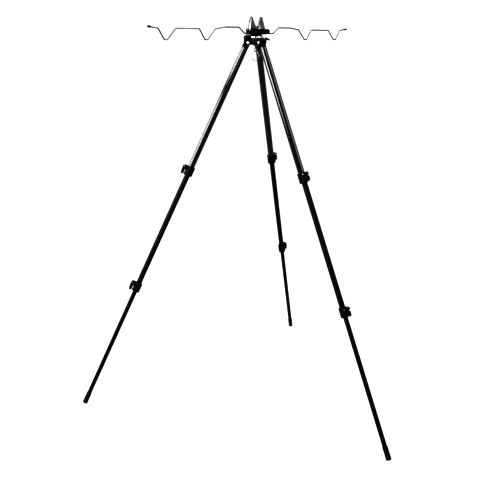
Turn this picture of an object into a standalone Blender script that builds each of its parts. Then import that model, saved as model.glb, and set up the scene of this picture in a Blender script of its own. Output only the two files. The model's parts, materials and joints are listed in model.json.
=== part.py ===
"""A folding telescopic rod-rest tripod with a swivelling head, a rod fork and two notched wire arms.

Metres, +Z up. The origin is on the ground, at the middle of the object's bounding box. The front leg
points along -Y and the wire arms lie along X. Each leg is built in a frame of its own, which has its
origin on the leg's hinge, +X pointing away from the tripod and -Z running down the leg.
"""

import math

import bmesh
import bpy
from mathutils import Matrix, Vector

GAP = 0.0003  # clearance left between neighbouring pieces
BOLT_SIDES = 12

# Stance
LEG_LENGTH = 1.212  # from the hinge to the tip of the foot
LEG_SPREAD = math.radians(25.3)  # between an open leg and the vertical
LEG_AZIMUTHS = {"front": -90, "right": 30, "left": 150}
HINGE_RADIUS = 0.025  # from the tripod's axis to a leg's hinge
FOOT_BALL = 0.006  # the rounding that a foot stands on
HINGE_HEIGHT = FOOT_BALL + (LEG_LENGTH - FOOT_BALL) * math.cos(LEG_SPREAD)
FOOT_CIRCLE = HINGE_RADIUS + (LEG_LENGTH - FOOT_BALL) * math.sin(LEG_SPREAD)
AXIS_Y = FOOT_CIRCLE / 4  # three equal legs put the box's middle this far in front of their axis

# Telescopic tubes, from the outer one in
TUBE_RADII = (0.00975, 0.00825, 0.00680)
TUBE_WALL = 0.0010
GROOVE_DEPTH = 0.0007
GROOVE_ANGLES = (30, 210)  # degrees round the tube, two keyways that stop the sections turning
GROOVE_HALF_WIDTH = 9  # degrees
TUBE_SIDES = 24
TUBE_TOP = 0.016
LOCK_PLACES = (0.404, 0.794)  # the middle of each flip lock, from the hinge
TUBE_ENDS = (LOCK_PLACES[0] + 0.002, LOCK_PLACES[1] + 0.002, LEG_LENGTH - 0.018)
TUBE_STARTS = (TUBE_TOP, LOCK_PLACES[0] - 0.030, LOCK_PLACES[1] - 0.030)
PLUG_DEPTH = 0.012
BUSH_HEAD = 0.007
FOOT_TOP = LEG_LENGTH - 0.040
FOOT_SIDES = 16

# Leg knuckle and its clevis in the hub
TONGUE_HALF = 0.005
TONGUE_RADIUS = 0.009
BOLT_RADIUS = 0.003
KNUCKLE_PLUG_END = 0.044
CLEVIS_HALF = 0.012
CLEVIS_REACH = 0.033
HUB_BOTTOM = -0.006
CLEVIS_TOPS = (0.0125, 0.0216, 0.0216)  # the front one is low, to lie below the clamp ring
CORE_RADIUS = 0.0170
CORE_SIDES = 28
CORE_TOP = 0.0220

# Flip locks, in a frame with +X towards the lever and its origin in the middle of the collar
LOCK_TURN = math.radians(-16)
LOCK_HALF = 0.0145
LOCK_RADII = (0.0132, 0.0122)
COLLAR_SIDES = 20
LEVER_PIN = (0.0185, 0.008)
LEVER_HEAD = 0.0048
PIN_RADIUS = 0.0016
EAR_INNER = 0.0046
EAR_OUTER = 0.0086

# Head, with heights above the leg hinges
CENTRE_BOLT = 0.0039
HEAD_BOTTOM = 0.0224
HEAD_TOP = 0.038
HEAD_HALF_X = 0.025
HEAD_FRONT = -0.020
HEAD_BACK = 0.018
FORK_SEAT = 0.033
FORK_HALF_DEPTH = 0.009
FORK_TIP_HALF_DEPTH = 0.0045
FORK_TAPER_START = 0.038
FORK_TIP = 0.072
FORK_VALLEY = 0.042
SWIVEL_LEVER_AZIMUTH = math.radians(-54)
CLAMP_RADIUS = 0.0190
CLAMP_BOTTOM = 0.0131
CLAMP_TOP = 0.0170

# Wire arms
WIRE_RADIUS = 0.0023
WIRE_SIDES = 8
RING_SIDES = 6
ARM_Y = -0.014
ARM_PIN_X = 0.030
ARM_PIN_Z = 0.0306
ARM_PIN_RADIUS = 0.0025
ARM_EYE = ARM_PIN_RADIUS + GAP + WIRE_RADIUS
ARM_SLOT_HALF = WIRE_RADIUS + GAP
LUG_RADIUS = 0.0075
LUG_BACK = -0.007
NOTCH_DEPTH = 0.028
ARM_LEVEL = 0.0365
ARM_RISE = 0.0415
ARM_TIP = 0.383
NOTCH_PLACES = (0.195, 0.329)
NOTCH_INNER = 0.032  # from a notch's bottom back to its inner lip
NOTCH_OUTER = 0.024  # and on to its outer lip
NOTCH_FLOOR = 0.005  # half of the flat at a notch's bottom
CAP_LENGTH = 0.010

# Ring that hangs from the centre bolt's eye
EYE_RADIUS = 0.005
EYE_WIRE = 0.0013
EYE_HEIGHT = -0.020
RING_RADIUS = 0.014
RING_WIRE = 0.0009


# ---------------------------------------------------------------- scene and materials


def clear_scene():
    for obj in list(bpy.data.objects):
        bpy.data.objects.remove(obj)


def material(name, colour, roughness, metallic):
    mat = bpy.data.materials.new(name)
    mat.use_nodes = True
    shader = mat.node_tree.nodes["Principled BSDF"]
    shader.inputs["Base Color"].default_value = (*colour, 1)
    shader.inputs["Roughness"].default_value = roughness
    shader.inputs["Metallic"].default_value = metallic
    return mat


def empty(name, parent=None, matrix=Matrix()):
    obj = bpy.data.objects.new(name, None)
    bpy.context.scene.collection.objects.link(obj)
    obj.parent = parent
    obj.matrix_local = matrix
    return obj


def piece(name, mesh, mat, parent, matrix=Matrix()):
    """One object of the assembly. Copies share their mesh, and so their material."""
    if not mesh.materials:
        mesh.materials.append(mat)
    obj = bpy.data.objects.new(name, mesh)
    bpy.context.scene.collection.objects.link(obj)
    obj.parent = parent
    obj.matrix_local = matrix
    return obj


# ---------------------------------------------------------------- shapes


def finished(bm, name, sharp=35):
    """The mesh of a closed shape, facing out and shaded smooth up to the angle given."""
    bmesh.ops.recalc_face_normals(bm, faces=bm.faces)
    mesh = bpy.data.meshes.new(name)
    bm.to_mesh(mesh)
    bm.free()
    mesh.shade_smooth()
    mesh.set_sharp_from_angle(angle=math.radians(sharp))
    return mesh


def lofted(rings, closed=False):
    """A skin over rings of points. A closed one runs back to its first ring, and an open one is capped."""
    bm = bmesh.new()
    loops = [[bm.verts.new(point) for point in ring] for ring in rings]
    pairs = list(zip(loops, loops[1:] + loops[:1])) if closed else list(zip(loops, loops[1:]))
    for low, high in pairs:
        for i in range(len(low)):
            j = (i + 1) % len(low)
            bm.faces.new((low[i], low[j], high[j], high[i]))
    if not closed:
        bm.faces.new(loops[0][::-1])
        bm.faces.new(loops[-1])
    return bm


def circle(radius, z, sides):
    turns = [2 * math.pi * i / sides for i in range(sides)]
    return [(radius * math.cos(t), radius * math.sin(t), z) for t in turns]


def turned(profile, sides, hollow=False):
    """A shape turned about Z from (radius, z) points. A hollow one's profile runs round its whole wall."""
    return lofted([circle(radius, z, sides) for radius, z in profile], closed=hollow)


def extruded(outline, low, high, plane="XY"):
    """An outline of (a, b) points pushed out from low to high, along the axis that its plane leaves."""
    place = {
        "XY": lambda a, b, depth: (a, b, depth),
        "XZ": lambda a, b, depth: (a, depth, b),
    }[plane]
    return lofted([[place(a, b, depth) for a, b in outline] for depth in (low, high)])


def box(low, high):
    outline = [(low[0], low[1]), (high[0], low[1]), (high[0], high[1]), (low[0], high[1])]
    return extruded(outline, low[2], high[2])


def cylinder(radius, start, end, sides):
    """A cylinder between two points on any axis."""
    axis = Vector(end) - Vector(start)
    bm = turned([(radius, 0), (radius, axis.length)], sides)
    bm.transform(Matrix.Translation(start) @ axis.to_track_quat("Z", "Y").to_matrix().to_4x4())
    return bm


def arc(centre, radius, start, end, steps):
    """Points on an arc in the plane, with angles in degrees."""
    points = []
    for i in range(steps + 1):
        turn = math.radians(start + (end - start) * i / steps)
        points.append((centre[0] + radius * math.cos(turn), centre[1] + radius * math.sin(turn)))
    return points


def filleted(corners, steps):
    """A path through (x, z, fillet radius) corners, each rounded by an arc of that radius."""
    path = [Vector(corners[0][:2])]
    for before, here, after in zip(corners, corners[1:], corners[2:]):
        corner = Vector(here[:2])
        back = (Vector(before[:2]) - corner).normalized()
        on = (Vector(after[:2]) - corner).normalized()
        half = back.angle(on) / 2
        centre = corner + (back + on).normalized() * (here[2] / math.sin(half))
        start = corner + back * (here[2] / math.tan(half)) - centre
        turn = (math.pi - 2 * half) * (1 if back.cross(on) < 0 else -1)
        for i in range(steps + 1):
            path.append(centre + Matrix.Rotation(turn * i / steps, 2) @ start)
    path.append(Vector(corners[-1][:2]))
    return path


def swept(path, radius, sides, closed=False):
    """A round wire along a path of (x, z) points in the XZ plane."""
    rings = []
    count = len(path)
    for i, point in enumerate(path):
        before = path[i - 1] if i or closed else point
        after = path[(i + 1) % count] if i + 1 < count or closed else point
        along = (Vector(after) - Vector(before)).normalized()
        side = Vector((-along.y, along.x))
        ring = []
        for x, y, _ in circle(radius, 0, sides):
            ring.append((point[0] + side.x * x, y, point[1] + side.y * x))
        rings.append(ring)
    return lofted(rings, closed)


def combined(bm, operation, *others):
    """The shape after a Boolean union or difference with each of the others, one at a time."""
    mesh = finished(bm, "base")
    base = bpy.data.objects.new("base", mesh)
    bpy.context.scene.collection.objects.link(base)
    helpers = []
    for number, other in enumerate(others):
        helper = bpy.data.objects.new(f"helper_{number}", finished(other, "helper"))
        bpy.context.scene.collection.objects.link(helper)
        modifier = base.modifiers.new("combine", "BOOLEAN")
        modifier.operation = operation
        modifier.object = helper
        helpers.append(helper)
    evaluated = base.evaluated_get(bpy.context.evaluated_depsgraph_get())
    result = bmesh.new()
    result.from_mesh(evaluated.to_mesh())
    evaluated.to_mesh_clear()
    for obj in [base, *helpers]:
        bpy.data.objects.remove(obj)
    return result


def grooved(radius, z):
    """A tube's cross-section, which dips at each keyway."""
    angles = {360 * i / TUBE_SIDES for i in range(TUBE_SIDES)}
    for groove in GROOVE_ANGLES:
        angles = {a for a in angles if abs(a - groove) >= GROOVE_HALF_WIDTH}
        angles |= {groove - GROOVE_HALF_WIDTH, groove, groove + GROOVE_HALF_WIDTH}
    points = []
    for angle in sorted(angles):
        here = radius - (GROOVE_DEPTH if angle in GROOVE_ANGLES else 0)
        turn = math.radians(angle)
        points.append((here * math.cos(turn), here * math.sin(turn), z))
    return points


# ---------------------------------------------------------------- legs


def tube_mesh(level):
    """One telescopic section, as a grooved pipe that is open at both ends."""
    outer = TUBE_RADII[level]
    inner = outer - TUBE_WALL
    top, bottom = -TUBE_STARTS[level], -TUBE_ENDS[level]
    rings = [grooved(outer, bottom), grooved(outer, top), grooved(inner, top), grooved(inner, bottom)]
    return finished(lofted(rings, closed=True), f"tube_{level}")


def bush_mesh(level):
    """The plastic bush in a section's top end, which slides in the section above it."""
    top = -TUBE_STARTS[level]
    plug = TUBE_RADII[level] - TUBE_WALL - GAP
    head = TUBE_RADII[level - 1] - TUBE_WALL - GAP
    rings = [
        grooved(plug, top - PLUG_DEPTH),
        grooved(plug, top + GAP),
        grooved(head, top + GAP),
        grooved(head, top + GAP + BUSH_HEAD),
    ]
    return finished(lofted(rings), f"bush_{level}")


def knuckle_mesh():
    """The leg's top plug: a drilled tongue on the hinge, a shoulder and a plug inside the upper tube."""
    side = (TONGUE_RADIUS, -TUBE_TOP + 0.001)
    outline = [*arc((0, 0), TONGUE_RADIUS, 180, 0, 12), side, (-side[0], side[1])]
    tongue = extruded(outline, -TONGUE_HALF, TONGUE_HALF, "XZ")
    outer = TUBE_RADII[0]
    plug = outer - TUBE_WALL - GAP
    shoulder = turned([(outer, -TUBE_TOP + GAP), (outer, -0.0115), (0.008, -0.010)], TUBE_SIDES)
    plug_rings = [grooved(plug, -KNUCKLE_PLUG_END), grooved(plug, -TUBE_TOP + 0.001)]
    whole = combined(tongue, "UNION", shoulder, lofted(plug_rings))
    hole = cylinder(BOLT_RADIUS + GAP, (0, -0.02, 0), (0, 0.02, 0), 16)
    return finished(combined(whole, "DIFFERENCE", hole), "leg_knuckle")


def foot_mesh():
    """A rubber boot over the lower tube's end, with a blunt rounded tip."""
    bore = TUBE_RADII[2] + GAP
    end = TUBE_ENDS[2] + GAP
    profile = [(0.0015, -end), (bore, -end), (bore, -FOOT_TOP)]
    profile += [(0.0076, -FOOT_TOP), (0.0080, -FOOT_TOP - 0.001), (0.0080, -LEG_LENGTH + 0.0046)]
    profile += [(0.0070, -LEG_LENGTH + 0.0028), (0.0050, -LEG_LENGTH + 0.0018), (0.0015, -LEG_LENGTH + 0.0006)]
    return finished(turned(profile, FOOT_SIDES), "foot_tip")


def collar_mesh(level):
    """A flip lock's split collar, with two ears for its lever."""
    radius = LOCK_RADII[level]
    wide = TUBE_RADII[level] + GAP
    narrow = TUBE_RADII[level + 1] + GAP
    step = LOCK_PLACES[level] - TUBE_ENDS[level] - GAP
    profile = [(narrow, -LOCK_HALF), (radius - 0.001, -LOCK_HALF), (radius, -LOCK_HALF + 0.001)]
    profile += [(radius, LOCK_HALF - 0.001), (radius - 0.001, LOCK_HALF), (wide, LOCK_HALF)]
    profile += [(wide, step), (narrow, step)]
    collar = turned(profile, COLLAR_SIDES, hollow=True)
    root = wide + 0.0012
    pin_x, pin_z = LEVER_PIN
    rounded = arc((pin_x, pin_z), LEVER_HEAD, -60, 90, 6)
    outline = [(root, 0), *rounded, (root, LOCK_HALF - 0.001)]
    ears = [
        extruded(outline, -EAR_OUTER, -EAR_INNER, "XZ"),
        extruded(outline, EAR_INNER, EAR_OUTER, "XZ"),
    ]
    whole = combined(collar, "UNION", *ears)
    hole = cylinder(PIN_RADIUS + GAP, (pin_x, -0.02, pin_z), (pin_x, 0.02, pin_z), 12)
    split = box((0, -0.0008, -0.02), (0.02, 0.0008, step - 0.004))
    return finished(combined(whole, "DIFFERENCE", hole, split), f"collar_{level}")


def lever_mesh(level):
    """The cam lever: a drilled head between the ears and a broad tail down the collar's side."""
    pin_x, pin_z = LEVER_PIN
    inner = LOCK_RADII[level] + 0.0012
    tail = [(inner, -LOCK_HALF + 0.0005), (inner + 0.0075, -LOCK_HALF + 0.0005)]
    outer = (pin_x + LEVER_HEAD, 0.0)
    head = arc((pin_x, pin_z), LEVER_HEAD, 0, 180, 10)
    half = EAR_INNER - GAP
    neck = extruded([*tail, outer, *head, (inner, 0.0)], -half, half, "XZ")
    neck_bottom = pin_z - LEVER_HEAD - 2 * GAP - 0.002
    wide_outline = [*tail, (outer[0] - 0.0003, neck_bottom), (inner, neck_bottom)]
    wide = extruded(wide_outline, -EAR_OUTER, EAR_OUTER, "XZ")
    whole = combined(neck, "UNION", wide)
    hole = cylinder(PIN_RADIUS + GAP, (pin_x, -0.02, pin_z), (pin_x, 0.02, pin_z), 12)
    return finished(combined(whole, "DIFFERENCE", hole), f"lever_{level}")


def pin_mesh():
    """A lever's pin, centred on its hinge."""
    return finished(cylinder(PIN_RADIUS, (0, -EAR_OUTER, 0), (0, EAR_OUTER, 0), 12), "lock_pin")


def bolt_mesh():
    """A hinge bolt along Y: a domed head outside one ear, and a shank as long as the nut."""
    profile = [(0.0010, 0.0034), (0.0026, 0.0030), (0.0040, 0.0016), (0.0043, GAP)]
    profile += [(BOLT_RADIUS, GAP), (BOLT_RADIUS, -2 * CLEVIS_HALF - 0.0022)]
    bm = turned(profile, BOLT_SIDES)
    bm.transform(Matrix.Translation((0, -CLEVIS_HALF, 0)) @ Matrix.Rotation(math.pi / 2, 4, "X"))
    return finished(bm, "leg_pivot_bolt")


def nut_mesh():
    """The cap nut on a hinge bolt's far end, with a blind bore."""
    bore = BOLT_RADIUS + GAP
    profile = [(0.0010, 0.0042), (0.0030, 0.0037), (0.0043, 0.0022), (0.0046, GAP)]
    profile += [(bore, GAP), (bore, 0.0026), (0.0008, 0.0026)]
    bm = turned(profile, BOLT_SIDES)
    bm.transform(Matrix.Translation((0, CLEVIS_HALF, 0)) @ Matrix.Rotation(-math.pi / 2, 4, "X"))
    return finished(bm, "leg_pivot_nut")


def build_locks(leg, side, parts, mats):
    """The two flip locks of a leg, each with its collar, lever and pin."""
    for level, place in enumerate(LOCK_PLACES):
        name = f"{side}_{('upper', 'lower')[level]}_lock"
        turn = Matrix.Translation((0, 0, -place)) @ Matrix.Rotation(LOCK_TURN, 4, "Z")
        frame = empty(f"{name}_frame", leg, turn)
        piece(f"{name}_collar", parts["collars"][level], mats["plastic"], frame)
        hinge = Matrix.Translation((LEVER_PIN[0], 0, LEVER_PIN[1]))
        pivot = empty(f"{name}_hinge", frame, hinge)
        piece(f"{name}_lever", parts["levers"][level], mats["plastic"], pivot, hinge.inverted())
        piece(f"{name}_pin", parts["pin"], mats["steel"], pivot)


def build_leg(root, side, azimuth, parts, mats):
    """A leg from its hinge bolt to its foot."""
    turn = Matrix.Rotation(math.radians(azimuth), 4, "Z")
    hinge = empty(f"{side}_leg_hinge", root, turn @ Matrix.Translation((HINGE_RADIUS, 0, HINGE_HEIGHT)))
    piece(f"{side}_leg_pivot_bolt", parts["bolt"], mats["steel"], hinge)
    piece(f"{side}_leg_pivot_nut", parts["nut"], mats["steel"], hinge)
    leg = empty(f"{side}_leg", hinge, Matrix.Rotation(-LEG_SPREAD, 4, "Y"))
    piece(f"{side}_leg_knuckle", parts["knuckle"], mats["plastic"], leg)
    for level, section in enumerate(("upper", "middle", "lower")):
        finish = mats["satin_tube" if level else "gloss_tube"]
        piece(f"{side}_{section}_tube", parts["tubes"][level], finish, leg)
    for level, section in ((1, "middle"), (2, "lower")):
        piece(f"{side}_{section}_bush", parts["bushes"][level - 1], mats["bush"], leg)
    piece(f"{side}_foot_tip", parts["foot"], mats["rubber"], leg)
    build_locks(leg, side, parts, mats)


def build_legs(root, mats):
    parts = {
        "tubes": [tube_mesh(level) for level in range(3)],
        "bushes": [bush_mesh(level) for level in (1, 2)],
        "collars": [collar_mesh(level) for level in range(2)],
        "levers": [lever_mesh(level) for level in range(2)],
        "knuckle": knuckle_mesh(),
        "foot": foot_mesh(),
        "pin": pin_mesh(),
        "bolt": bolt_mesh(),
        "nut": nut_mesh(),
    }
    for side, azimuth in LEG_AZIMUTHS.items():
        build_leg(root, side, azimuth, parts, mats)


# ---------------------------------------------------------------- head


def clevis_shape(top):
    """One clevis along +X, from inside the core out to its nose, cut back for the clamp ring."""
    nose = [(CLEVIS_REACH, 0.0), (CLEVIS_REACH, top - 0.006), (CLEVIS_REACH - 0.002, top - 0.002)]
    nose += [(CLEVIS_REACH - 0.006, top), (0.009, top)]
    outline = [(0.009, HUB_BOTTOM), (CLEVIS_REACH - 0.004, HUB_BOTTOM), *nose]
    block = extruded(outline, -CLEVIS_HALF, CLEVIS_HALF, "XZ")
    seat = cylinder(CLAMP_RADIUS + 2 * GAP, (0, 0, CLAMP_BOTTOM - GAP), (0, 0, 0.03), 32)
    return combined(block, "DIFFERENCE", seat)


def hub_mesh():
    """The leg crown: a round core that the head turns on, with three clevises and a clamp ring's seat."""
    core = turned([(CORE_RADIUS, HUB_BOTTOM), (CORE_RADIUS, CORE_TOP)], CORE_SIDES)
    inner, step = CORE_RADIUS - 0.0025, CLAMP_BOTTOM + GAP
    slot_outline = [(inner, -0.02), (0.05, -0.02), (0.05, 0.03), (CLAMP_RADIUS, 0.03)]
    slot_outline += [(CLAMP_RADIUS, step), (inner, step)]
    clevises, cuts = [], []
    for azimuth, top in zip(LEG_AZIMUTHS.values(), CLEVIS_TOPS):
        clevis = clevis_shape(top)
        slot = extruded(slot_outline, -TONGUE_HALF - GAP, TONGUE_HALF + GAP, "XZ")
        hole = cylinder(BOLT_RADIUS + GAP, (HINGE_RADIUS, -0.02, 0), (HINGE_RADIUS, 0.02, 0), 16)
        for shape in (clevis, slot, hole):
            shape.transform(Matrix.Rotation(math.radians(azimuth), 4, "Z"))
        clevises.append(clevis)
        cuts += [slot, hole]
    cuts.append(cylinder(CENTRE_BOLT + GAP, (0, 0, -0.02), (0, 0, 0.03), 16))
    whole = combined(core, "UNION", *clevises)
    return finished(combined(whole, "DIFFERENCE", *cuts), "hub_body")


def eye_bolt_mesh():
    """The centre bolt: a flange under the hub, a shank up into the head and an eye below."""
    flange = 0.0075
    top = FORK_SEAT - GAP
    profile = [(CENTRE_BOLT, top), (CENTRE_BOLT, HUB_BOTTOM - GAP), (flange, HUB_BOTTOM - GAP)]
    profile += [(flange, HUB_BOTTOM - 0.003), (0.0030, HUB_BOTTOM - 0.004)]
    profile += [(0.0022, EYE_HEIGHT + EYE_RADIUS)]
    eye = swept(arc((0, EYE_HEIGHT), EYE_RADIUS, 0, 340, 17), EYE_WIRE, RING_SIDES, closed=True)
    return finished(combined(turned(profile, 16), "UNION", eye), "centre_eye_bolt")


def ring_mesh():
    """The hanging ring, with its origin in the eye's lowest bar, which it swings about."""
    middle = EYE_WIRE + GAP + RING_WIRE - RING_RADIUS
    bm = swept(arc((0, middle), RING_RADIUS, 0, 340, 17), RING_WIRE, RING_SIDES, closed=True)
    bm.transform(Matrix.Rotation(math.pi / 2, 4, "Z"))
    return finished(bm, "hanging_ring")


def swivel_lever_mesh():
    """The clamp ring round the hub's core, with a flat arm that drops towards its grip."""
    bore = CORE_RADIUS + GAP
    band = [(bore, CLAMP_BOTTOM), (CLAMP_RADIUS, CLAMP_BOTTOM), (CLAMP_RADIUS, CLAMP_TOP), (bore, CLAMP_TOP)]
    outline = [(CLAMP_RADIUS - 0.001, 0.0135), (0.0265, 0.0130), (0.0355, 0.0080), (0.0355, 0.0103)]
    outline += [(0.0265, 0.0158), (CLAMP_RADIUS - 0.001, 0.0166)]
    arm = extruded(outline, -0.0040, 0.0040, "XZ")
    return finished(combined(turned(band, 36, hollow=True), "UNION", arm), "swivel_lever")


def lever_grip_mesh():
    """A plastic sleeve over the outer end of the swivel lever's arm."""
    outline = [(0.0292, 0.0101), (0.0305, 0.0086), (0.0385, 0.0052), *arc((0.0392, 0.0078), 0.0024, -70, 70, 4)]
    outline += [(0.0380, 0.0112), (0.0305, 0.0157), (0.0292, 0.0156)]
    sleeve = extruded(outline, -0.0052, 0.0052, "XZ")
    pocket = [(0.0260, 0.0118), (0.0358, 0.00745), (0.0358, 0.0106), (0.0260, 0.0166)]
    hollow = extruded(pocket, -0.0043, 0.0043, "XZ")
    return finished(combined(sleeve, "DIFFERENCE", hollow), "swivel_lever_grip")


def head_outline():
    """The head block's plan, with rounded corners."""
    radius = 0.005
    front, back = HEAD_FRONT + radius, HEAD_BACK - radius
    side = HEAD_HALF_X - radius
    corners = ((side, back, 0), (-side, back, 90), (-side, front, 180), (side, front, 270))
    outline = []
    for x, y, start in corners:
        outline += arc((x, y), radius, start, start + 90, 4)
    return outline


def head_mesh():
    """The head block, with a seat for the fork and a slotted lug for each wire arm."""
    block = extruded(head_outline(), HEAD_BOTTOM, HEAD_TOP)
    lugs, cuts = [], []
    for sign in (-1, 1):
        end = arc((ARM_PIN_X, ARM_PIN_Z), LUG_RADIUS, -90, 90, 10)
        inner = HEAD_HALF_X - 0.006
        outline = [(inner, ARM_PIN_Z - LUG_RADIUS), *end, (inner, ARM_PIN_Z + LUG_RADIUS)]
        lug = [(sign * x, z) for x, z in outline]
        lugs.append(extruded(lug, HEAD_FRONT + 0.0001, LUG_BACK, "XZ"))
        near, far = sorted((sign * (ARM_PIN_X - ARM_EYE - WIRE_RADIUS - 0.001), sign * 0.045))
        slot_low = (near, ARM_Y - ARM_SLOT_HALF, 0)
        slot_high = (far, ARM_Y + ARM_SLOT_HALF, 0.06)
        cuts.append(box(slot_low, slot_high))
        ends = (sign * ARM_PIN_X, HEAD_FRONT + 0.0015, ARM_PIN_Z), (sign * ARM_PIN_X, 0, ARM_PIN_Z)
        cuts.append(cylinder(ARM_PIN_RADIUS + GAP, *ends, 12))
    seat_half = FORK_HALF_DEPTH + GAP
    cuts.append(box((-0.05, -seat_half, FORK_SEAT), (0.05, seat_half, 0.06)))
    cuts.append(cylinder(CENTRE_BOLT + GAP, (0, 0, 0), (0, 0, 0.06), 16))
    cuts.append(fork_pin_shape(GAP, 0.01))
    whole = combined(block, "UNION", *lugs)
    return finished(combined(whole, "DIFFERENCE", *cuts), "head_block")


def fork_pin_shape(extra_radius, extra_length):
    """The cross pin that holds the fork, grown by the amounts given to make its hole."""
    height = FORK_SEAT + 0.0028
    front = (0.0, HEAD_FRONT + 0.0005 - extra_length, height)
    back = (0.0, HEAD_BACK - 0.0005 + extra_length, height)
    return cylinder(0.0014 + extra_radius, front, back, 12)


def fork_mesh():
    """The rod fork: two horns that taper both ways from a broad foot, with a rounded valley between them."""
    foot = 0.030
    tip_outer, tip_inner = 0.0225, 0.0155
    right = [(foot - 0.0038, FORK_SEAT + GAP), (foot, FORK_SEAT + 0.0032), (foot, FORK_TAPER_START)]
    right += arc(((tip_outer + tip_inner) / 2, FORK_TIP - 0.0035), 0.0035, 10, 170, 6)
    right += arc((0, FORK_VALLEY + 0.007), 0.007, -20, -90, 5)
    left = [(-x, z) for x, z in reversed(right[:-1])]
    bm = extruded(right + left, -FORK_HALF_DEPTH, FORK_HALF_DEPTH, "XZ")
    for vert in bm.verts:
        share = max(0, (vert.co.z - FORK_TAPER_START) / (FORK_TIP - FORK_TAPER_START))
        vert.co.y *= 1 - share * (1 - FORK_TIP_HALF_DEPTH / FORK_HALF_DEPTH)
    return finished(combined(bm, "DIFFERENCE", fork_pin_shape(GAP, 0.01)), "rod_fork")


def arm_path():
    """The right arm's centre line: an eye round its pin, a rise, two rod notches and a tip."""
    base = ARM_PIN_Z - ARM_EYE
    eye = arc((ARM_PIN_X, ARM_PIN_Z), ARM_EYE, 10, 270, 10)
    corners = [(ARM_PIN_X, base, 0), (0.057, base, 0.007), (0.077, ARM_RISE, 0.010)]
    corners += [(0.128, ARM_RISE, 0.030)]
    for place in NOTCH_PLACES:
        corners += [
            (place - NOTCH_INNER, ARM_LEVEL, 0.007),
            (place - NOTCH_FLOOR, ARM_LEVEL - NOTCH_DEPTH, 0.006),
            (place + NOTCH_FLOOR, ARM_LEVEL - NOTCH_DEPTH, 0.006),
            (place + NOTCH_OUTER, ARM_LEVEL, 0.006),
        ]
    corners += [(ARM_TIP, ARM_LEVEL + 0.004, 0)]
    return eye[:-1] + [tuple(point) for point in filleted(corners, 4)]


def arm_mesh(sign):
    path = [(sign * (x - ARM_PIN_X), z - ARM_PIN_Z) for x, z in arm_path()]
    return finished(swept(path, WIRE_RADIUS, WIRE_SIDES), "wire_arm")


def arm_cap_frame(sign):
    """The matrix at an arm's tip, with +Z on along the wire, from its hinge."""
    before, tip = arm_path()[-2:]
    along = Vector((sign * (tip[0] - before[0]), 0, tip[1] - before[1]))
    place = Vector((sign * (tip[0] - ARM_PIN_X), 0, tip[1] - ARM_PIN_Z))
    return Matrix.Translation(place) @ along.to_track_quat("Z", "Y").to_matrix().to_4x4()


def arm_cap_mesh():
    """A rubber cap over the wire's end, with a blind bore."""
    bore = WIRE_RADIUS + GAP
    sleeve = CAP_LENGTH - 0.003
    profile = [(0.0008, GAP), (bore, GAP), (bore, -sleeve), (0.0031, -sleeve)]
    profile += [(0.0033, -sleeve + 0.001), (0.0033, 0.0015), (0.0024, 0.0026), (0.0010, 0.003)]
    return finished(turned(profile, 12), "arm_end_cap")


def arm_bolt_mesh():
    """An arm's hinge bolt along Y, with its round head behind the lug."""
    back = LUG_BACK - ARM_Y
    profile = [(0.0010, 0.0022), (0.0028, 0.0018), (0.0035, 0.0009), (0.0036, GAP)]
    profile += [(ARM_PIN_RADIUS, GAP), (ARM_PIN_RADIUS, HEAD_FRONT - LUG_BACK + 0.0020)]
    bm = turned(profile, BOLT_SIDES)
    bm.transform(Matrix.Translation((0, back, 0)) @ Matrix.Rotation(-math.pi / 2, 4, "X"))
    return finished(bm, "arm_bolt")


def build_arms(head, mats):
    """Each wire arm on the hinge at its end of the head block."""
    bolt, cap = arm_bolt_mesh(), arm_cap_mesh()
    for side, sign in (("left", -1), ("right", 1)):
        place = Matrix.Translation((sign * ARM_PIN_X, ARM_Y, ARM_PIN_Z))
        hinge = empty(f"{side}_arm_hinge", head, place)
        piece(f"{side}_wire_arm", arm_mesh(sign), mats["chrome"], hinge)
        piece(f"{side}_arm_end_cap", cap, mats["rubber"], hinge, arm_cap_frame(sign))
        piece(f"{side}_arm_bolt", bolt, mats["dark_steel"], hinge)


def build_head(root, mats):
    """Everything on the tripod's axis, from the hanging ring up to the fork."""
    axis = empty("head_axis", root, Matrix.Translation((0, 0, HINGE_HEIGHT)))
    piece("hub_body", hub_mesh(), mats["plastic"], axis)
    piece("centre_eye_bolt", eye_bolt_mesh(), mats["dark_steel"], axis)
    swing = Matrix.Translation((0, 0, EYE_HEIGHT - EYE_RADIUS))
    piece("hanging_ring", ring_mesh(), mats["dark_steel"], axis, swing)
    turn = Matrix.Rotation(SWIVEL_LEVER_AZIMUTH, 4, "Z")
    piece("swivel_lever", swivel_lever_mesh(), mats["steel"], axis, turn)
    piece("swivel_lever_grip", lever_grip_mesh(), mats["plastic"], axis, turn)
    head = empty("head_swivel", axis)
    piece("head_block", head_mesh(), mats["plastic"], head)
    piece("rod_fork", fork_mesh(), mats["fork"], head)
    piece("fork_pin", finished(fork_pin_shape(0, 0), "fork_pin"), mats["dark_steel"], head)
    build_arms(head, mats)


def main():
    clear_scene()
    mats = {
        "gloss_tube": material("gloss_black_tube", (0.012, 0.012, 0.013), 0.18, 0.0),
        "satin_tube": material("satin_black_tube", (0.012, 0.012, 0.013), 0.40, 0.0),
        "plastic": material("black_plastic", (0.016, 0.016, 0.016), 0.42, 0.0),
        "fork": material("dark_fork_plastic", (0.035, 0.036, 0.030), 0.50, 0.0),
        "bush": material("grey_nylon", (0.30, 0.30, 0.29), 0.55, 0.0),
        "rubber": material("black_rubber", (0.010, 0.010, 0.010), 0.80, 0.0),
        "steel": material("bright_steel", (0.72, 0.72, 0.70), 0.25, 1.0),
        "dark_steel": material("blackened_steel", (0.06, 0.06, 0.06), 0.35, 1.0),
        "chrome": material("chromed_wire", (0.80, 0.80, 0.80), 0.10, 1.0),
    }
    root = empty("tripod_axis", None, Matrix.Translation((0, AXIS_Y, 0)))
    build_head(root, mats)
    build_legs(root, mats)


main()
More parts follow.
